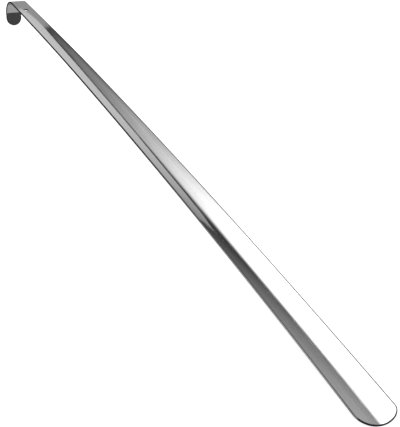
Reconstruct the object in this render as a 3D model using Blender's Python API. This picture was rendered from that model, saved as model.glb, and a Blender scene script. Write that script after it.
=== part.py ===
"""A long one-piece steel shoehorn, lying on the end of its hook and the tip of its blade.

One flat steel strip is cut to a long taper with both ends rounded, drilled for hanging,
pressed into a shallow channel and bent back at its narrow end into a hook. Nothing is
joined to it, so it is one object. Metres, +Z up: X runs from the hook to the blade's tip,
Y across the strip, and the hollow side of the channel looks up. The origin is at the
middle of the shoehorn's footprint, on the surface it lies on.
"""

import math

import bmesh
import bpy
from mathutils import Matrix, Vector

# The flat strip
THICKNESS = 0.0015
HOOK_WIDTH = 0.0185  # the same all round the hook
BLADE_WIDTH = 0.040
BLADE_LENGTH = 0.786  # along the strip, from the start of the hook's bend to the tip
BLADE_ROUNDING = 0.0135  # length of the half ellipse that ends the blade
TAPER_POWER = 1.15  # 1 would be a straight taper

# The hook, turned away from the hollow side
HOOK_RADIUS = 0.0145  # outside of the bend
HOOK_TURN = math.radians(112)
HOOK_LEG = 0.0142  # straight stretch past the bend, with its round end

# The hanging hole
HOLE_DIAMETER = 0.005
HOLE_FROM_BEND = 0.024
HOLE_SIDES = 32

# The pressed shape of the blade
FLAT_LENGTH = 0.027  # stays flat and straight, past the hole
CHANNEL_DEPTH = 0.10  # as a share of the width
CHANNEL_RUN_IN = 0.168  # length over which the channel reaches its full depth
ARCH_TURN = math.radians(4.5)  # the whole blade curves away from its hollow side by this

# How finely the faces are divided
COLUMNS = 12
BEND_ROWS = 20
FLAT_ROWS = 2
BLADE_ROWS = 44
BLADE_END_ROWS = 9
HOOK_END_ROWS = 7

BEND_LENGTH = HOOK_RADIUS * HOOK_TURN
ARCH_RADIUS = (BLADE_LENGTH - FLAT_LENGTH) / ARCH_TURN
HOOK_END_START = -(BEND_LENGTH + HOOK_LEG - HOOK_WIDTH / 2)
BLADE_END_START = BLADE_LENGTH - BLADE_ROUNDING


def clear_scene():
    for obj in list(bpy.data.objects):
        bpy.data.objects.remove(obj, do_unlink=True)


def arc(radius, angle):
    """Where an arc that sets out along +X and turns down has got to, and its outward normal."""
    place = Vector((radius * math.sin(angle), 0, radius * (math.cos(angle) - 1)))
    return place, Vector((math.sin(angle), 0, math.cos(angle)))


def spine(u):
    """Centre of the strip's upper face, and the normal there, u metres past the bend's start."""
    if u >= 0:
        place, normal = arc(ARCH_RADIUS, max(u - FLAT_LENGTH, 0) / ARCH_RADIUS)
        return place + Vector((min(u, FLAT_LENGTH), 0, 0)), normal
    turn = min(-u / HOOK_RADIUS, HOOK_TURN)
    place, normal = arc(HOOK_RADIUS, turn)
    leg = max(-u - BEND_LENGTH, 0)
    place += leg * Vector((math.cos(turn), 0, -math.sin(turn)))
    # The hook sets out along -X, so its arc is mirrored.
    return Vector((-place.x, 0, place.z)), Vector((-normal.x, 0, normal.z))


def strip_width(u):
    """Width before the ends are rounded."""
    share = max(min(u / BLADE_END_START, 1), 0)
    return HOOK_WIDTH + (BLADE_WIDTH - HOOK_WIDTH) * share**TAPER_POWER


def rounding(u):
    """What is left of the width where an end is rounded."""
    past_blade = max((u - BLADE_END_START) / BLADE_ROUNDING, 0)
    past_hook = max((HOOK_END_START - u) / (HOOK_WIDTH / 2), 0)
    return math.sqrt(max(1 - max(past_blade, past_hook) ** 2, 0))


def channel_depth(u):
    """How far the strip's edges stand above its middle."""
    run = max(min((u - FLAT_LENGTH) / CHANNEL_RUN_IN, 1), 0)
    return CHANNEL_DEPTH * strip_width(u) * math.sin(run * math.pi / 2)


def face_point(u, across):
    """A point of the upper face; across is -1 at the left edge and 1 at the right."""
    place, normal = spine(u)
    y = across * rounding(u) * strip_width(u) / 2
    rise = channel_depth(u) * (across * rounding(u)) ** 2
    return place + Vector((0, y, 0)) + rise * normal


def rows():
    """Places along the strip, from the hook's end to the blade's tip, both ends left out."""
    hook_end = [
        HOOK_END_START - HOOK_WIDTH / 2 * math.cos(step / HOOK_END_ROWS * math.pi / 2)
        for step in range(1, HOOK_END_ROWS)
    ]
    bend = [-BEND_LENGTH * (1 - step / BEND_ROWS) for step in range(BEND_ROWS)]
    flat = [FLAT_LENGTH * step / FLAT_ROWS for step in range(FLAT_ROWS)]
    run = BLADE_END_START - FLAT_LENGTH
    blade = [FLAT_LENGTH + run * step / BLADE_ROWS for step in range(BLADE_ROWS)]
    blade_end = [
        BLADE_END_START + BLADE_ROUNDING * math.sin(step / BLADE_END_ROWS * math.pi / 2)
        for step in range(BLADE_END_ROWS)
    ]
    return [*hook_end, HOOK_END_START, *bend, *flat, *blade, *blade_end]


def upper_face():
    """The strip's upper face as a grid that closes to a point at each end."""
    mesh = bmesh.new()
    lines = [
        [mesh.verts.new(face_point(u, 2 * step / COLUMNS - 1)) for step in range(COLUMNS + 1)]
        for u in rows()
    ]
    for line, following in zip(lines, lines[1:]):
        for left, right, far_right, far_left in zip(
            line, line[1:], following[1:], following
        ):
            mesh.faces.new((left, far_left, far_right, right))
    hook_tip = mesh.verts.new(face_point(HOOK_END_START - HOOK_WIDTH / 2, 0))
    blade_tip = mesh.verts.new(face_point(BLADE_LENGTH, 0))
    for left, right in zip(lines[0], lines[0][1:]):
        mesh.faces.new((hook_tip, left, right))
    for left, right in zip(lines[-1], lines[-1][1:]):
        mesh.faces.new((left, blade_tip, right))
    return mesh


def steel():
    material = bpy.data.materials.new("satin_steel")
    material.use_nodes = True
    shader = material.node_tree.nodes["Principled BSDF"]
    shader.inputs["Base Color"].default_value = (0.62, 0.62, 0.63, 1)
    shader.inputs["Metallic"].default_value = 1
    shader.inputs["Roughness"].default_value = 0.28
    return material


def hole_cutter():
    """A round bar through the flat stretch below the bend."""
    mesh = bmesh.new()
    bmesh.ops.create_cone(
        mesh,
        cap_ends=True,
        segments=HOLE_SIDES,
        radius1=HOLE_DIAMETER / 2,
        radius2=HOLE_DIAMETER / 2,
        depth=6 * THICKNESS,
        matrix=Matrix.Translation((HOLE_FROM_BEND, 0, 0)),
    )
    data = bpy.data.meshes.new("hole_cutter")
    mesh.to_mesh(data)
    mesh.free()
    cutter = bpy.data.objects.new("hole_cutter", data)
    cutter.hide_render = True
    cutter.display_type = "WIRE"
    bpy.context.collection.objects.link(cutter)
    return cutter


def lying_turn():
    """The turn about Y that brings the hook's end and the blade's tip to one level."""
    hook_foot, _ = spine(HOOK_END_START - HOOK_WIDTH / 2)
    blade_tip, normal = spine(BLADE_LENGTH)
    reach = blade_tip - THICKNESS * normal - hook_foot
    return Matrix.Rotation(math.atan2(reach.z, reach.x), 4, "Y")


def lay_down(strip):
    """Turns the strip to rest on its two ends, with the middle of its footprint at the origin."""
    turn = lying_turn()
    bpy.context.view_layer.update()
    formed = strip.evaluated_get(bpy.context.evaluated_depsgraph_get())
    corners = [turn @ vertex.co for vertex in formed.data.vertices]
    ends = [corner.x for corner in corners]
    middle = (min(ends) + max(ends)) / 2
    floor = min(corner.z for corner in corners)
    strip.matrix_world = Matrix.Translation((-middle, 0, -floor)) @ turn


def shoehorn():
    grid = upper_face()
    data = bpy.data.meshes.new("shoehorn")
    grid.to_mesh(data)
    grid.free()
    data.materials.append(steel())
    strip = bpy.data.objects.new("shoehorn", data)
    bpy.context.collection.objects.link(strip)

    wall = strip.modifiers.new("sheet thickness", "SOLIDIFY")
    wall.thickness = THICKNESS
    wall.offset = -1

    drill = strip.modifiers.new("hanging hole", "BOOLEAN")
    drill.object = hole_cutter()
    drill.object.parent = strip
    drill.operation = "DIFFERENCE"
    drill.solver = "EXACT"
    return strip


clear_scene()
lay_down(shoehorn())
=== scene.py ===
import math

import bpy
import numpy as np
from mathutils import Matrix, Vector
from mathutils.geometry import delaunay_2d_cdt


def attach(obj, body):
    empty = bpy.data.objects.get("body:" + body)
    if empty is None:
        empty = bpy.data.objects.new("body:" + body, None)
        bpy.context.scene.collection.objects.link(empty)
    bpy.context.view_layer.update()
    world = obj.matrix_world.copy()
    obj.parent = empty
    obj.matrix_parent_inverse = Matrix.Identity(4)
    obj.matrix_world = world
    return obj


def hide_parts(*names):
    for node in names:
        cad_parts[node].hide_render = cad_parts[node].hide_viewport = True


# A long one-piece steel shoehorn. Metres, +Z up: X runs from the hook to the blade's tip, Y across
# the strip, and the hollow side of its channel looks up. Glowing surfaces stand around it, which
# are seen only as reflections in the steel. Along the strip, u counts from the start of the bend.

# The steel strip: the driving dimensions of the CAD part
THICKNESS = 0.0015
HOOK_WIDTH = 0.0185
BLADE_WIDTH = 0.040
BLADE_LENGTH = 0.786
BLADE_ROUNDING = 0.0135  # length of the half ellipse that ends the blade
TAPER_POWER = 1.15
HOOK_RADIUS = 0.0145
HOOK_TURN = math.radians(112)
HOOK_LEG = 0.0142
HOLE_RADIUS = 0.0025
HOLE_FROM_BEND = 0.024
FLAT_LENGTH = 0.027  # stays straight, past the hole
CHANNEL_DEPTH = 0.10  # as a share of the width
CHANNEL_RUN_IN = 0.195  # from the bend, where the CAD starts its channel past the flat length
ARCH_TURN = math.radians(4.5)

BEND_LENGTH = HOOK_RADIUS * HOOK_TURN
ARCH_RADIUS = (BLADE_LENGTH - FLAT_LENGTH) / ARCH_TURN
HOOK_ROUNDING = HOOK_WIDTH / 2
HOOK_END_START = -(BEND_LENGTH + HOOK_LEG - HOOK_ROUNDING)
BLADE_END_START = BLADE_LENGTH - BLADE_ROUNDING

# Corners rounded over by arcs, from a face to the side: radius, first and last degrees, steps
RIM = ((0.0010, 0, 25, 4), (0.0001, 25, 90, 4))
LOWER_RIM = ((0.0001, 0, 90, 4),)
HOLE_RIM = ((0.0002, 0, 90, 5),)

# How finely the outline and the faces are divided
CAP_STEPS = 28
LEG_STEPS = 7
BEND_STEPS = 60
FLAT_STEPS = 27
BLADE_STEPS = 300
HOLE_STEPS = 48
MOST_COLUMNS = 16
LEAST_PITCH = 0.0007
EDGE_ROOM = 0.0009  # kept clear of inner points along the outline
LEAST_ROOM = 0.0006  # a narrower half row has no inner points

# Streaks and blotches in the steel: length and width of one
FINE_GRAIN = (0.030, 0.00022)
BROAD_GRAIN = (0.120, 0.0016)
MOTTLE = (0.004, 0.0016)
SMUDGE = (0.045, 0.018)
RAGGED_GRAIN = (0.002, 0.002)
SMUDGE_TURN = math.radians(14)
SMUDGE_DETAIL = 3.0
NOISE_ROUGHNESS = 0.55
NOISE_RANGE = (0.3, 0.7)
SMUDGE_RANGE = (0.45, 0.7)

# Hairline scratches: cell length and width, degrees from the strip's length, least noise that shows
HAIRLINES = (
    (0.035, 0.0006, 0, 0.70),
    (0.020, 0.0005, 9, 0.76),
    (0.016, 0.0005, -17, 0.78),
)
HAIRLINE_FADE = 0.05
HAIRLINE_HEIGHT = -0.8  # against the fine grain's height

# Clean steel, from the least noise to the most
CLEAN_TONE = (0.575, 0.625)
MOTTLE_TONE = (0.0, 0.045)
CLEAN_ROUGHNESS = (0.03, 0.06)
SMUDGE_ROUGHNESS = (0.0, 0.02)

# Hairlines, painted edge shade, and the cut side, rougher and painted darker as shade: tone and
# roughness
HAIRLINE_FINISH = (0.66, 0.16)
# Painted shade: a near-black band along the edges, for their dark line
EDGE_SHADE_PAINT = (0.06, 0.3)
# The cut side: rougher for its sheared finish, and painted darker as shade for the edge's dark line
SHEARED_DULL_AND_SHADE = (0.3, 0.16)

# Where those lie: the painted edge shade by its distance from the edge, the sheared side by its depth
EDGE_SHADE_FADE = (0.00075, 0.00095)
RAGGED_REACH = 0.00015
HOLE_BAND_LESS = 0.0006  # the band around the hole is narrower by this
SHEARED_START = (0.00012, 0.0002)
SHEARED_END = (THICKNESS - 0.0001, THICKNESS - 0.00004)

# Camera, aimed from a direction in degrees
VIEW_AZIMUTH = 58.06
VIEW_ELEVATION = 29.59
VIEW_ROLL = math.radians(8.62)
VIEW_DISTANCE = 1.3835
VIEW_TARGET = Vector((0, 0, 0.020))
VIEW_ACROSS = 0.03881
VIEW_BELOW = 0.04846
LENS = 118.53
SENSOR = 36

# Tones of the wall and the cards are what their reflection shows: the steel mirrors this share
REFLECTED = 0.62

# Back wall: direction in degrees, distance, ends, foot, and upper edge as places and heights. Its
# edge leans away to the right, to leave the strip's other views clear.
WALL_AZIMUTH = -122
WALL_DISTANCE = 0.9
WALL_ENDS = (-0.82, 0.72)
WALL_FOOT = -0.05
WALL_TOP = ((-0.82, 0.45), (-0.78, 0.62), (-0.66, 1.06), (-0.44, 1.57), (-0.03, 2.18), (0.66, 2.95))
WALL_GRID = (78, 130)
WALL_TONE = 0.04
WALL_LEFT = -0.28  # the wall brightens to the left of here
WALL_LEFT_RISE = 0.63

# Grey card just before the wall. Its right part is darker, from the inner corner of its upper edge.
CARD_AHEAD = 0.005
CARD_CORNER = 0.275
CARD_TOP = (
    (-0.275, 0.370),
    (-0.212, 0.441),
    (0.0, 0.418),
    (0.2, 0.378),
    (CARD_CORNER, 0.340),
    (0.30, 0.368),
    (0.33, 0.392),
    (0.36, 0.411),
    (0.40, 0.432),
    (0.90, 0.680),
)
CARD_SLOPE_STEPS = 13  # along the short slope at its left end
CARD_GRID = (224, 9)
CARD_TONE = 0.48
CARD_DARKER = 0.22
CARD_DARKER_FADE = (CARD_CORNER - 0.006, CARD_CORNER + 0.006)
CARD_DIM_START = 0.1  # the card dims to the left of here
CARD_DIM = 1.85

# Bright sheet on the wall, between two slanted borders that each have a direction inwards
SHEET_PLACE = (-0.08, 0.65)
SHEET_FROM_LEFT = (0.74, 0.672)
SHEET_FROM_RIGHT = (-0.687, 0.728)
SHEET_REACH = 0.47  # from its place to the right border
SHEET_RISE = 0.635  # tone gained with the distance from the right border, and with its square
SHEET_RISE_SQUARE = 2.2
SHEET_BRIGHTEST = 1.4
SHEET_LEFT_FADE = (-0.19, 0.02)
SHEET_SPREAD_HEIGHT = 0.9  # the left fade grows wider above here
SHEET_LEAN = 0.035  # and further in at the sheet's left end
SHEET_LEAN_FADE = (0.2, 0.5)
SHEET_BOTTOM = 0.02  # above the card's edge
SHEET_BOTTOM_FULL = ((-0.2, 0.16), (0.2, 0.06))

# Faint patch on the wall, above the darker part of the card
PATCH_TONE = 0.045
PATCH_LEFT_FADE = (0.26, 0.30)
PATCH_RIGHT_FADE = (0.33, 0.40)
PATCH_RIGHT_SLANT = 0.8
PATCH_RIGHT_HEIGHT = 0.44
PATCH_BOTTOM_FADE = (-0.01, 0.05)
PATCH_TOP_FADE = (0.58, 0.78)

# Small level card above the hook: its tones from its left to its right, lower on its -Y part
SHADE_HEIGHT = 0.2
SHADE_ENDS = (-0.49, -0.25)
SHADE_SIDES = (-0.10, 0.12)
SHADE_GRID = (49, 45)
SHADE_TONES = (
    (-0.49, 0.155),
    (-0.45, 0.180),
    (-0.40, 0.220),
    (-0.35, 0.280),
    (-0.31, 0.345),
    (-0.27, 0.420),
    (-0.25, 0.470),
)
SHADE_LOWER = ((-0.49, 0.099), (-0.25, 0.147))
SHADE_LOWER_SIDES = ((0.010, 1), (0.052, 0))

# Dome: directions in degrees round from -Y towards +X, and up
DOME_RADIUS = 12
DOME_TURNS = np.linspace(0, 360, 181)
DOME_RISES = (*np.arange(-6, 30, 0.5), *np.arange(30, 91, 3))
DOME_TONE = 0.17
DOME_LEAN = 0.3  # brighter towards +X and darker towards -X
# Long lights above: degrees from straight up towards +Y, how far aside full and none, and tone
SOFT_LIGHTS = ((34, 9, 20, 0.75), (-38, 10, 22, 0.55), (-80, 8, 24, 0.35))
# Parts of the dome with tones of their own: centre, and how far aside these are full and none
HOOK_SIDE = (111, 25, 40)
HOOK_SIDE_LOW = 0.53
HOOK_SIDE_DROP = 0.45
HOOK_SIDE_DROP_RISE = (11, 13)
HOOK_SIDE_TOP = (28, 40)
FLAG = (-71, 25, 29)
FLAG_TOP = (28, 34)
FLAG_SHADE = 0.98
LOW_LIGHT = (-33, 6, 10)
LOW_LIGHT_TOP = (6, 12)
LOW_LIGHT_TONE = 0.8

# Floor: a pale disc that the camera sees, and what the steel mirrors in its place
FLOOR_RADIUS = 40
FLOOR_SIDES = 64
FLOOR_LIGHT = 1.3  # tone of the lit floor
NEAR_LEVEL = -0.0005
NEAR_LENGTH = 0.6
NEAR_WIDTH = 0.2
NEAR_GRID = (241, 81)
SHADOW_TONE = 0.03
SHADOW_LENGTH = 0.39
SHADOW_WIDTH = 0.018
SHADOW_FADE = (0.05, 0.12)
BEHIND_TONE = 0.42  # on the +Y side
# From the hook on: lit past a slanted line on the +Y side, and dark on the other side
HOOK_LIT_TONE = 0.53
HOOK_LIT_START = -0.43
HOOK_LIT_SIDE = -0.015
HOOK_LIT_SLOPE = 0.3
HOOK_LIT_CORNER = -0.375
HOOK_DARK_TONE = 0.02
HOOK_DARK_END = -0.33
HOOK_DARK_SIDE = -0.02
# Mats past the near floor, and the floor far off
MAT_LEVEL = -0.001
DARK_MAT = ((-0.31, -0.19), (-0.59, -0.19), (-9, -5.3), (-9, -12), (-0.31, -0.455))
LIGHT_MAT = ((-0.2, -0.19), (-0.2, -0.9), (0.6, -0.9), (0.6, -0.19))
FAR_LEVEL = -0.002
FAR_REACH = 13
FAR_TONE = 0.45


def smooth(value, start, end):
    """A smooth step from 0 to 1 as value goes from start to end."""
    share = np.clip((value - start) / (end - start), 0, 1)
    return share * share * (3 - 2 * share)


def through(points, x):
    """Value at x of a line drawn straight from point to point."""
    places, values = zip(*points)
    return np.interp(x, places, values)


def direction(turn, rise):
    """A unit vector, turn degrees round from -Y towards +X and rise degrees up."""
    turn, rise = math.radians(turn), math.radians(rise)
    return Vector((math.sin(turn) * math.cos(rise), -math.cos(turn) * math.cos(rise), math.sin(rise)))


def unit(vectors):
    return vectors / np.linalg.norm(vectors, axis=-1, keepdims=True)


def arc(radius, angle):
    """Where an arc that sets out along +X and turns down has got to, and its outward normal."""
    place = np.stack([radius * np.sin(angle), 0 * angle, radius * (np.cos(angle) - 1)], -1)
    return place, np.stack([np.sin(angle), 0 * angle, np.cos(angle)], -1)


def spine(u):
    """Centre of the strip's upper face, and the normal there."""
    blade, blade_up = arc(ARCH_RADIUS, np.maximum(u - FLAT_LENGTH, 0) / ARCH_RADIUS)
    blade[..., 0] += np.minimum(u, FLAT_LENGTH)
    turn = np.clip(-u / HOOK_RADIUS, 0, HOOK_TURN)
    hook, hook_up = arc(HOOK_RADIUS, turn)
    leg = np.maximum(-u - BEND_LENGTH, 0)[..., None]
    hook = hook + leg * np.stack([np.cos(turn), 0 * turn, -np.sin(turn)], -1)
    # The hook sets out along -X, so its arc is mirrored.
    mirror = np.array([-1, 1, 1])
    on_blade = (u >= 0)[..., None]
    return np.where(on_blade, blade, hook * mirror), np.where(on_blade, blade_up, hook_up * mirror)


def strip_width(u):
    """Width before the ends are rounded."""
    share = np.clip(u / BLADE_END_START, 0, 1)
    return HOOK_WIDTH + (BLADE_WIDTH - HOOK_WIDTH) * share**TAPER_POWER


def channel_depth(u):
    """How far the strip's edges stand above its middle: nothing at the bend, then more and more."""
    share = np.sin(math.pi / 2 * np.clip(u / CHANNEL_RUN_IN, 0, 1))
    return CHANNEL_DEPTH * strip_width(u) * share


def upper_face(u, y):
    """A point of the upper face, u along the strip and y across it."""
    place, up = spine(u)
    place = place + np.stack([0 * y, y, 0 * y], -1)
    return place + (channel_depth(u) * (2 * y / strip_width(u)) ** 2)[..., None] * up


def face_frame(u, y):
    """Unit vectors along the upper face, across it, and out of it."""
    step = 1e-5
    along = upper_face(u + step, y) - upper_face(u - step, y)
    across = upper_face(u, y + step) - upper_face(u, y - step)
    return unit(along), unit(across), unit(np.cross(along, across))


def side_outline():
    """The outline's right half between its rounded ends: u, y and outward u, y."""
    u = np.concatenate(
        [
            np.linspace(HOOK_END_START, -BEND_LENGTH, LEG_STEPS + 1)[1:-1],
            np.linspace(-BEND_LENGTH, 0, BEND_STEPS + 1)[:-1],
            np.linspace(0, FLAT_LENGTH, FLAT_STEPS + 1)[:-1],
            np.linspace(FLAT_LENGTH, BLADE_END_START, BLADE_STEPS + 1)[:-1],
        ]
    )
    step = 1e-6
    slope = (strip_width(u + step) - strip_width(u - step)) / (4 * step)
    return np.stack([u, strip_width(u) / 2], -1), unit(np.stack([-slope, 0 * u + 1], -1))


def half_outline():
    """The outline's right half from the hook's end to the blade's tip: u, y and outward u, y."""
    turn = np.linspace(0, math.pi / 2, CAP_STEPS + 1)
    hook_out = np.stack([-np.cos(turn), np.sin(turn)], -1)
    hook_cap = HOOK_ROUNDING * hook_out + [HOOK_END_START, 0]
    side, side_out = side_outline()
    turn = turn[:-1]
    blade_u = BLADE_END_START + BLADE_ROUNDING * np.sin(turn)
    blade_cap = np.stack([blade_u, BLADE_WIDTH / 2 * np.cos(turn)], -1)
    blade_out = unit(np.stack([np.sin(turn) / BLADE_ROUNDING, np.cos(turn) / (BLADE_WIDTH / 2)], -1))
    return np.concatenate([hook_cap, side, blade_cap]), np.concatenate([hook_out, side_out, blade_out])


def outline():
    """Anticlockwise in the plane of u and y, from the hook's end along the left edge."""
    right, right_out = half_outline()
    flip = np.array([1, -1])
    places = np.concatenate([right[1:] * flip, [[BLADE_LENGTH, 0]], right[::-1]])
    outward = np.concatenate([right_out[1:] * flip, [[1, 0]], right_out[::-1]])
    return places, outward


def hole_ring():
    """Anticlockwise round the hole: u, y and u, y out of the steel."""
    turn = np.arange(HOLE_STEPS) * 2 * math.pi / HOLE_STEPS
    ray = np.stack([np.cos(turn), np.sin(turn)], -1)
    return ray * HOLE_RADIUS + [HOLE_FROM_BEND, 0], -ray


def inner_points():
    """Rows of points across the strip, inside the outline and clear of the hole."""
    right, _ = half_outline()
    points = []
    for u, y in right[1:]:
        room = y - EDGE_ROOM
        if room < LEAST_ROOM:
            continue
        columns = max(2, min(MOST_COLUMNS, 2 * round(room / LEAST_PITCH)))
        for step in range(1, columns):
            points.append((u, room * (2 * step / columns - 1)))
    points = np.array(points)
    from_hole = np.linalg.norm(points - [HOLE_FROM_BEND, 0], axis=1)
    return points[from_hole > HOLE_RADIUS + LEAST_PITCH]


def inside(points, loop):
    """Whether each point is inside the closed loop."""
    x, y = points[:, 0, None], points[:, 1, None]
    x1, y1 = loop[:, 0], loop[:, 1]
    x2, y2 = np.roll(x1, -1), np.roll(y1, -1)
    crosses = (y1 > y) != (y2 > y)
    with np.errstate(divide="ignore", invalid="ignore"):
        at = (x2 - x1) * (y - y1) / (y2 - y1) + x1
    return (crosses & (x < at)).sum(axis=1) % 2 == 1


def flat_mesh(edge, hole):
    """Points and triangles in the plane of u and y, between the edge and the hole."""
    points = np.concatenate([edge, hole, inner_points()])
    loops = [(i, (i + 1) % len(edge)) for i in range(len(edge))]
    start = len(edge)
    loops += [(start + i, start + (i + 1) % len(hole)) for i in range(len(hole))]
    # In millimetres, so that the tolerance is a millionth of one.
    whole, tolerance = 0, 1e-6
    scaled = [Vector(1000 * point) for point in points]
    made = delaunay_2d_cdt(scaled, loops, [], whole, tolerance)
    origin = [ids[0] for ids in made[3]]
    faces = np.array([[origin[i] for i in face] for face in made[2]])
    a, b, c = (points[faces[:, corner]] for corner in range(3))
    area = (b[:, 0] - a[:, 0]) * (c[:, 1] - a[:, 1]) - (b[:, 1] - a[:, 1]) * (c[:, 0] - a[:, 0])
    faces[area < 0] = faces[area < 0][:, ::-1]
    middle = points[faces].mean(axis=1)
    keep = np.linalg.norm(middle - [HOLE_FROM_BEND, 0], axis=1) > HOLE_RADIUS
    return points, faces[keep & inside(middle, edge)]


def rim_profile(arcs):
    """A rounded corner from the upper face to the side: inset, depth and angle of its normal."""
    profile = [(0, 0, 0)]
    for radius, start, end, steps in arcs:
        inset, depth, _ = profile[-1]
        first = math.radians(start)
        for angle in np.radians(np.linspace(start, end, steps + 1))[1:]:
            out = radius * (math.sin(angle) - math.sin(first))
            down = radius * (math.cos(first) - math.cos(angle))
            profile.append((inset - out, depth + down, angle))
    total = profile[-1][0]
    return [(inset - total, depth, angle) for inset, depth, angle in profile]


def rim(places, outward, arcs):
    """Rings between the upper face and the lower one: points, normals, plane places and depths."""
    lower = [
        (inset, THICKNESS - depth, math.pi - angle)
        for inset, depth, angle in rim_profile(LOWER_RIM)[::-1]
    ]
    rings = []
    for inset, depth, angle in rim_profile(arcs)[1:] + lower:
        plane = places - inset * outward
        along, across, up = face_frame(plane[:, 0], plane[:, 1])
        out = outward[:, :1] * along + outward[:, 1:] * across
        out = unit(out - (out * up).sum(-1, keepdims=True) * up)
        point = upper_face(plane[:, 0], plane[:, 1]) - depth * up
        normal = math.cos(angle) * up + math.sin(angle) * out
        rings.append((point, normal, plane, np.full(len(plane), depth)))
    return rings


def ring_faces(rings, around_hole):
    """Four-sided faces from each ring of vertex numbers to the next."""
    faces = []
    for above, below in zip(rings, rings[1:]):
        quads = np.stack([above, below, np.roll(below, -1), np.roll(above, -1)], -1)
        faces += (quads[:, ::-1] if around_hole else quads).tolist()
    return faces


def strip_mesh():
    """The whole skin: points, normals, plane places, depths below the upper face, and faces."""
    edge, edge_out = outline()
    hole, hole_out = hole_ring()
    edge_inset, hole_inset = rim_profile(RIM)[0][0], rim_profile(HOLE_RIM)[0][0]
    plane, triangles = flat_mesh(edge - edge_inset * edge_out, hole - hole_inset * hole_out)
    _, _, up = face_frame(plane[:, 0], plane[:, 1])
    top = upper_face(plane[:, 0], plane[:, 1])
    count = len(plane)
    layers = [
        (top, up, plane, np.zeros(count)),
        (top - THICKNESS * up, -up, plane, np.full(count, THICKNESS)),
    ]
    faces = [*triangles.tolist(), *(triangles[:, ::-1] + count).tolist()]
    total = 2 * count
    first = 0
    for ring_places, ring_out, arcs in ((edge, edge_out, RIM), (hole, hole_out, HOLE_RIM)):
        size = len(ring_places)
        rings = rim(ring_places, ring_out, arcs)
        starts = [first, *(total + size * ring for ring in range(len(rings))), count + first]
        faces += ring_faces([start + np.arange(size) for start in starts], arcs == HOLE_RIM)
        layers += rings
        total += size * len(rings)
        first += size
    points, normals, places, depths = (np.concatenate(parts) for parts in zip(*layers))
    return points, normals, places, depths, faces


def lie_down(points, normals):
    """Turns the strip as it lies, and puts the middle of its footprint at the origin."""
    hook_foot = spine(np.array(HOOK_END_START - HOOK_ROUNDING))[0]
    tip, tip_up = spine(np.array(BLADE_LENGTH))
    reach = tip - THICKNESS * tip_up - hook_foot
    turn = np.array(Matrix.Rotation(math.atan2(reach[2], reach[0]), 3, "Y"))
    points = points @ turn.T
    normals = normals @ turn.T
    low, high = points.min(axis=0), points.max(axis=0)
    return points - [(low[0] + high[0]) / 2, 0, low[2]], normals


def gap_to(ring, places):
    """Distance from each place to the nearest point of the ring."""
    return np.array([np.linalg.norm(ring - place, axis=1).min() for place in places])


def mark_places(mesh, places, depths):
    """Stores where each vertex is on the flat strip, for the steel's finish and its painted edge
    shade.
    """
    place = mesh.attributes.new("strip_place", "FLOAT_VECTOR", "POINT")
    place.data.foreach_set("vector", np.column_stack([places, depths]).astype(np.float32).ravel())
    gap = np.minimum(gap_to(outline()[0], places), gap_to(hole_ring()[0], places) + HOLE_BAND_LESS)
    edge_distance = mesh.attributes.new("from_edge", "FLOAT", "POINT")
    edge_distance.data.foreach_set("value", gap.astype(np.float32))
    layer = mesh.uv_layers.new(name="strip")
    corners = np.empty(len(mesh.loops), np.int32)
    mesh.loops.foreach_get("vertex_index", corners)
    layer.data.foreach_set("uv", places[corners].astype(np.float32).ravel())


def shoehorn():
    points, normals, places, depths, faces = strip_mesh()
    points, normals = lie_down(points, normals)
    mesh = bpy.data.meshes.new("shoehorn_strip")
    mesh.from_pydata(points.tolist(), [], faces)
    mesh.update()
    mesh.shade_smooth()
    mesh.normals_split_custom_set_from_vertices(unit(normals).tolist())
    mark_places(mesh, places, depths)
    mesh.materials.append(satin_steel())
    piece = bpy.data.objects.new("shoehorn_strip", mesh)
    bpy.context.collection.objects.link(piece)
    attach(piece, "root")
    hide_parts("shoehorn")


class Nodes:
    """Adds nodes to a material. Every call except give returns the new node's output."""

    def __init__(self, material):
        material.use_nodes = True
        self.tree = material.node_tree

    def add(self, kind, *values, **settings):
        node = self.tree.nodes.new("ShaderNode" + kind)
        for name, setting in settings.items():
            setattr(node, name, setting)
        sockets = [socket for socket in node.inputs if socket.enabled]
        for socket, value in zip(sockets, values):
            self.give(socket, value)
        return node.outputs[0]

    def give(self, socket, value):
        if isinstance(value, bpy.types.NodeSocket):
            self.tree.links.new(value, socket)
        else:
            socket.default_value = value

    def attribute(self, name, output):
        return self.add("Attribute", attribute_name=name).node.outputs[output]

    def math(self, operation, *values):
        return self.add("Math", *values, operation=operation)

    def steps(self, value, start, end, low=0.0, high=1.0):
        """A smooth step from low to high as value goes from start to end."""
        return self.add("MapRange", value, start, end, low, high, interpolation_type="SMOOTHSTEP")

    def mix(self, share, low, high):
        return self.add("Mix", share, low, high)

    def streaks(self, place, length, width, turn=0.0, detail=2.0):
        """Noise drawn out along the strip, or along a line turned from it."""
        turned = self.add("VectorRotate", place, (0, 0, 0), (0, 0, 1), turn)
        scale = (1 / length, 1 / width, 1 / width)
        scaled = self.add("VectorMath", turned, scale, operation="MULTIPLY")
        return self.add("TexNoise", scaled, 1.0, detail, NOISE_ROUGHNESS)


def scratches(nodes, place):
    """Hairlines: a few along the strip, fewer that cross it at a slant."""
    total = 0.0
    for length, width, turn, least in HAIRLINES:
        noise = nodes.streaks(place, length, width, math.radians(turn), 0.0)
        total = nodes.math("ADD", nodes.steps(noise, least, least + HAIRLINE_FADE), total)
    return nodes.math("MINIMUM", total, 1.0)


def painted_edge_shade(nodes, place):
    """Painted shade: a dark band along the edges, for their dark line, that ends in a ragged line."""
    noise = nodes.streaks(place, *RAGGED_GRAIN)
    ragged = nodes.math("MULTIPLY_ADD", noise, 2 * RAGGED_REACH, -RAGGED_REACH)
    from_edge = nodes.math("ADD", nodes.attribute("from_edge", "Fac"), ragged)
    return nodes.steps(from_edge, *EDGE_SHADE_FADE, 1.0, 0.0)


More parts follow.
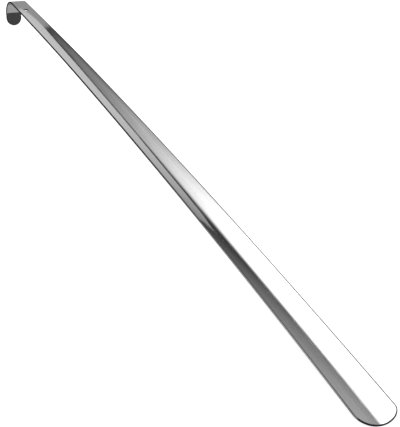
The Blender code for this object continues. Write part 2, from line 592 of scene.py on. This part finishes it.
def sheared_side(nodes, place):
    """The cut side of the sheet, between its rounded corners, which is painted darker as shade."""
    depth = nodes.add("SeparateXYZ", place).node.outputs["Z"]
    below = nodes.steps(depth, *SHEARED_START)
    return nodes.math("MULTIPLY", below, nodes.steps(depth, *SHEARED_END, 1.0, 0.0))


def clean_tone(nodes, place):
    """Broad lengthwise streaks, and a finer mottling."""
    broad = nodes.steps(nodes.streaks(place, *BROAD_GRAIN), *NOISE_RANGE, *CLEAN_TONE)
    mottle = nodes.steps(nodes.streaks(place, *MOTTLE), *NOISE_RANGE, *MOTTLE_TONE)
    return nodes.math("ADD", broad, mottle)


def clean_roughness(nodes, place, fine):
    """The fine grain, and duller smudges."""
    smudge = nodes.streaks(place, *SMUDGE, SMUDGE_TURN, SMUDGE_DETAIL)
    smudge = nodes.steps(smudge, *SMUDGE_RANGE, *SMUDGE_ROUGHNESS)
    return nodes.math("ADD", nodes.steps(fine, *NOISE_RANGE, *CLEAN_ROUGHNESS), smudge)


def grain_bump(nodes, fine, hairlines):
    bump = nodes.tree.nodes.new("ShaderNodeBump")
    bump.inputs["Strength"].default_value = 0.25
    bump.inputs["Distance"].default_value = 0.00001
    height = nodes.math("ADD", fine, nodes.math("MULTIPLY", hairlines, HAIRLINE_HEIGHT))
    nodes.give(bump.inputs["Height"], height)
    return bump.outputs[0]


def satin_steel():
    """Polished steel with a fine lengthwise grain and hairlines, and painted shade in a dark band
    along its edges and on its cut side.
    """
    material = bpy.data.materials.new("satin_steel")
    nodes = Nodes(material)
    place = nodes.attribute("strip_place", "Vector")
    fine = nodes.streaks(place, *FINE_GRAIN)
    hairlines = scratches(nodes, place)
    # The hairlines are scratches in the steel; the dark edge band and the cut side's darker tone are
    # painted shade
    finishes_and_painted_shade = (
        (hairlines, HAIRLINE_FINISH),
        (painted_edge_shade(nodes, place), EDGE_SHADE_PAINT),
        (sheared_side(nodes, place), SHEARED_DULL_AND_SHADE),
    )
    tone = clean_tone(nodes, place)
    rough = clean_roughness(nodes, place, fine)
    for share, (layer_tone, layer_rough) in finishes_and_painted_shade:
        tone = nodes.mix(share, tone, layer_tone)
        rough = nodes.mix(share, rough, layer_rough)
    shader = nodes.tree.nodes["Principled BSDF"].inputs
    shader["Metallic"].default_value = 1
    shader["Anisotropic"].default_value = 0.35
    shader["Anisotropic Rotation"].default_value = 0.25
    nodes.give(shader["Base Color"], nodes.add("CombineColor", tone, tone, tone))
    nodes.give(shader["Roughness"], rough)
    nodes.give(shader["Normal"], grain_bump(nodes, fine, hairlines))
    nodes.give(shader["Tangent"], nodes.add("Tangent", direction_type="UV_MAP", uv_map="strip"))
    return material


def glow_material(name):
    """Light of the strength that the mesh's glow attribute gives."""
    material = bpy.data.materials.new(name)
    material.use_nodes = True
    material.cycles.emission_sampling = "NONE"
    tree = material.node_tree
    tree.nodes.clear()
    value = tree.nodes.new("ShaderNodeAttribute")
    value.attribute_name = "glow"
    light = tree.nodes.new("ShaderNodeEmission")
    out = tree.nodes.new("ShaderNodeOutputMaterial")
    tree.links.new(value.outputs["Fac"], light.inputs["Strength"])
    tree.links.new(light.outputs[0], out.inputs["Surface"])
    return material


def stage_mesh(name, points, faces, glow):
    """A glowing surface that only reflections show."""
    mesh = bpy.data.meshes.new(name)
    mesh.from_pydata([tuple(point) for point in points], [], faces)
    mesh.update()
    values = mesh.attributes.new("glow", "FLOAT", "POINT")
    values.data.foreach_set("value", np.asarray(glow, np.float32))
    mesh.materials.append(glow_material(name))
    surface = bpy.data.objects.new(name, mesh)
    bpy.context.collection.objects.link(surface)
    surface.visible_camera = False
    surface.visible_diffuse = False
    surface.visible_shadow = False
    surface.visible_transmission = False


def stage_grid(name, across, up, place, glow):
    """A glowing grid: place and glow turn its two coordinates into a point and a brightness."""
    width = len(across)
    points = [place(x, z) for z in up for x in across]
    faces = [
        (i + j * width, i + 1 + j * width, i + 1 + (j + 1) * width, i + (j + 1) * width)
        for j in range(len(up) - 1)
        for i in range(width - 1)
    ]
    stage_mesh(name, points, faces, [glow(x, z) for z in up for x in across])


def stage_polygon(name, corners, level, glow):
    """A level glowing polygon of one tone."""
    points = [(x, y, level) for x, y in corners]
    stage_mesh(name, points, [list(range(len(points)))], [glow] * len(points))


def on_wall(distance, x, z):
    """A point of an upright plane behind the strip, x to the right and z up."""
    away = direction(WALL_AZIMUTH, 0)
    side = Vector((-away.y, away.x, 0))
    return away * distance + side * x + Vector((0, 0, z))


def slanted(x, z, way):
    """How far a place on the wall is from the sheet's place, measured along a slanted way."""
    return (x - SHEET_PLACE[0]) * way[0] + (z - SHEET_PLACE[1]) * way[1]


def sheet_tone(x, z):
    """The bright sheet: a border that fades on the left, and a slow rise from the right."""
    from_right = max(SHEET_REACH + slanted(x, z, SHEET_FROM_RIGHT), 0)
    tone = min(SHEET_RISE * from_right + SHEET_RISE_SQUARE * from_right**2, SHEET_BRIGHTEST)
    from_left = slanted(x, z, SHEET_FROM_LEFT) / (1 + max(z - SHEET_SPREAD_HEIGHT, 0))
    lean = SHEET_LEAN * smooth(-x, *SHEET_LEAN_FADE)
    tone *= smooth(from_left - lean, *SHEET_LEFT_FADE)
    return tone * smooth(z - through(CARD_TOP, x), SHEET_BOTTOM, through(SHEET_BOTTOM_FULL, x))


def patch_tone(x, z):
    """A faint patch that keeps to the wall just above the darker part of the card."""
    from_slant = x - PATCH_RIGHT_SLANT * (z - PATCH_RIGHT_HEIGHT)
    across = smooth(x, *PATCH_LEFT_FADE) * (1 - smooth(from_slant, *PATCH_RIGHT_FADE))
    up = smooth(z - through(CARD_TOP, x), *PATCH_BOTTOM_FADE) * (1 - smooth(z, *PATCH_TOP_FADE))
    return PATCH_TONE * across * up


def wall_glow(x, z):
    side = WALL_LEFT_RISE * max(WALL_LEFT - x, 0)
    return float(WALL_TONE + patch_tone(x, z) + side + sheet_tone(x, z)) / REFLECTED


def back_wall():
    def height(x, share):
        return WALL_FOOT + share * (through(WALL_TOP, x) - WALL_FOOT)

    stage_grid(
        "back_wall",
        np.linspace(*WALL_ENDS, WALL_GRID[0]),
        np.linspace(0, 1, WALL_GRID[1]),
        lambda x, share: on_wall(WALL_DISTANCE, x, height(x, share)),
        lambda x, share: wall_glow(x, height(x, share)),
    )


def card_glow(x):
    dim = CARD_DIM * min(x - CARD_DIM_START, 0) ** 2
    return float(CARD_TONE - dim - CARD_DARKER * smooth(x, *CARD_DARKER_FADE)) / REFLECTED


def grey_card():
    left, slope_end, right = CARD_TOP[0][0], CARD_TOP[1][0], CARD_TOP[-1][0]
    slope = np.linspace(left, slope_end, CARD_SLOPE_STEPS + 1)[:-1]
    stage_grid(
        "grey_card",
        [*slope, *np.linspace(slope_end, right, CARD_GRID[0])],
        np.linspace(0, 1, CARD_GRID[1]),
        lambda x, share: on_wall(WALL_DISTANCE - CARD_AHEAD, x, share * through(CARD_TOP, x)),
        lambda x, share: card_glow(x),
    )


def shade_glow(x, y):
    """As bright as what it covers in the camera's view, and far darker than the wall above it."""
    lower = through(SHADE_LOWER, x) * through(SHADE_LOWER_SIDES, y)
    return float(through(SHADE_TONES, x) - lower) / REFLECTED


def hook_shade():
    """A small card above the hook, for the strip's flat end to mirror when seen from above."""
    stage_grid(
        "hook_shade",
        np.linspace(*SHADE_ENDS, SHADE_GRID[0]),
        np.linspace(*SHADE_SIDES, SHADE_GRID[1]),
        lambda x, y: Vector((x, y, SHADE_HEIGHT)),
        shade_glow,
    )


def beside(turn, centre, full, none):
    """One within full degrees of the centre direction, nothing past none degrees."""
    aside = abs((turn - centre + 180) % 360 - 180)
    return 1 - smooth(aside, full, none)


def soft_lights(way):
    """Long lights above the strip, each at an angle from straight up towards +Y."""
    roll = math.degrees(math.atan2(way.y, way.z))
    lights = sum(
        tone * (1 - smooth(abs(roll - centre), full, none))
        for centre, full, none, tone in SOFT_LIGHTS
    )
    return (DOME_TONE + lights) * (1 + DOME_LEAN * way.x)


def dome_glow(turn, rise):
    general = soft_lights(direction(turn, rise))
    low = HOOK_SIDE_LOW - HOOK_SIDE_DROP * smooth(rise, *HOOK_SIDE_DROP_RISE)
    local = low + (general - low) * smooth(rise, *HOOK_SIDE_TOP)
    glow = general + (local - general) * beside(turn, *HOOK_SIDE)
    flag = beside(turn, *FLAG) * (1 - smooth(rise, *FLAG_TOP))
    low_light = beside(turn, *LOW_LIGHT) * (1 - smooth(rise, *LOW_LIGHT_TOP))
    return float(glow * (1 - FLAG_SHADE * flag) + LOW_LIGHT_TONE * low_light)


def dome():
    stage_grid(
        "dome",
        DOME_TURNS,
        DOME_RISES,
        lambda turn, rise: DOME_RADIUS * direction(turn, rise),
        dome_glow,
    )


def floor_material():
    material = bpy.data.materials.new("floor")
    material.use_nodes = True
    shader = material.node_tree.nodes["Principled BSDF"]
    shader.inputs["Base Color"].default_value = (0.5, 0.5, 0.5, 1)
    shader.inputs["Roughness"].default_value = 1
    shader.inputs["Specular IOR Level"].default_value = 0
    shader.inputs["Emission Color"].default_value = (1, 1, 1, 1)
    shader.inputs["Emission Strength"].default_value = 0.85
    return material


def floor():
    """The pale floor that the camera sees, and the steel doesn't mirror."""
    turns = np.arange(FLOOR_SIDES) * 2 * math.pi / FLOOR_SIDES
    ring = [(FLOOR_RADIUS * math.cos(turn), FLOOR_RADIUS * math.sin(turn), 0) for turn in turns]
    mesh = bpy.data.meshes.new("floor")
    mesh.from_pydata(ring, [], [list(range(len(ring)))])
    mesh.materials.append(floor_material())
    disc = bpy.data.objects.new("floor", mesh)
    bpy.context.collection.objects.link(disc)
    disc.visible_glossy = False


def floor_glow(x, y):
    """Lit to the -Y side, greyer to the other, dark under the strip, and two tones by the hook."""
    if x > HOOK_LIT_START and y > max(HOOK_LIT_SIDE, HOOK_LIT_SLOPE * (x - HOOK_LIT_CORNER)):
        return HOOK_LIT_TONE
    if x < HOOK_DARK_END and y < HOOK_DARK_SIDE:
        return HOOK_DARK_TONE
    past = max(abs(y) - SHADOW_WIDTH, abs(x) - SHADOW_LENGTH)
    far = FLOOR_LIGHT if y < 0 else BEHIND_TONE
    return float(SHADOW_TONE + far * smooth(past, *SHADOW_FADE))


def mirror_floor():
    """What the steel mirrors below it: the floor near the strip, two mats, and the floor far off."""
    stage_grid(
        "floor_near",
        np.linspace(-NEAR_LENGTH, NEAR_LENGTH, NEAR_GRID[0]),
        np.linspace(-NEAR_WIDTH, NEAR_WIDTH, NEAR_GRID[1]),
        lambda x, y: Vector((x, y, NEAR_LEVEL)),
        floor_glow,
    )
    stage_polygon("dark_mat", DARK_MAT, MAT_LEVEL, HOOK_DARK_TONE)
    stage_polygon("light_mat", LIGHT_MAT, MAT_LEVEL, FLOOR_LIGHT)
    corners = [(FAR_REACH * x, FAR_REACH * y) for x, y in ((-1, -1), (1, -1), (1, 1), (-1, 1))]
    stage_polygon("floor_far", corners, FAR_LEVEL, FAR_TONE)


def daylight():
    world = bpy.data.worlds.new("studio")
    bpy.context.scene.world = world
    world.use_nodes = True
    background = world.node_tree.nodes["Background"]
    background.inputs["Color"].default_value = (1, 1, 1, 1)
    background.inputs["Strength"].default_value = 1.0


def camera():
    data = bpy.data.cameras.new("camera")
    data.sensor_width = SENSOR
    data.lens = LENS
    data.clip_start = 0.05
    data.clip_end = 200
    eye = bpy.data.objects.new("camera", data)
    bpy.context.collection.objects.link(eye)
    bpy.context.scene.camera = eye
    back = direction(VIEW_AZIMUTH, VIEW_ELEVATION)
    level = direction(VIEW_AZIMUTH + 90, 0)
    above = back.cross(level)
    right = math.cos(VIEW_ROLL) * level + math.sin(VIEW_ROLL) * above
    up = math.cos(VIEW_ROLL) * above - math.sin(VIEW_ROLL) * level
    place = VIEW_TARGET + VIEW_ACROSS * right - VIEW_BELOW * up + VIEW_DISTANCE * back
    turn = Matrix((right, up, back)).transposed()
    eye.matrix_world = Matrix.Translation(place) @ turn.to_4x4()


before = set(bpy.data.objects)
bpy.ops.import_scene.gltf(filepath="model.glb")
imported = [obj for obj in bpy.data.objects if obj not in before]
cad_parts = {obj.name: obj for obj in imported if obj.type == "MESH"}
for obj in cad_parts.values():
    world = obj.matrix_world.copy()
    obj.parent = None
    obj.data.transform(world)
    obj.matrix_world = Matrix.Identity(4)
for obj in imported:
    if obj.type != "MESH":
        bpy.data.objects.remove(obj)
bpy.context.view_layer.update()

camera()
shoehorn()
back_wall()
grey_card()
hook_shade()
dome()
floor()
mirror_floor()
daylight()
bpy.context.scene.view_settings.view_transform = "Standard"
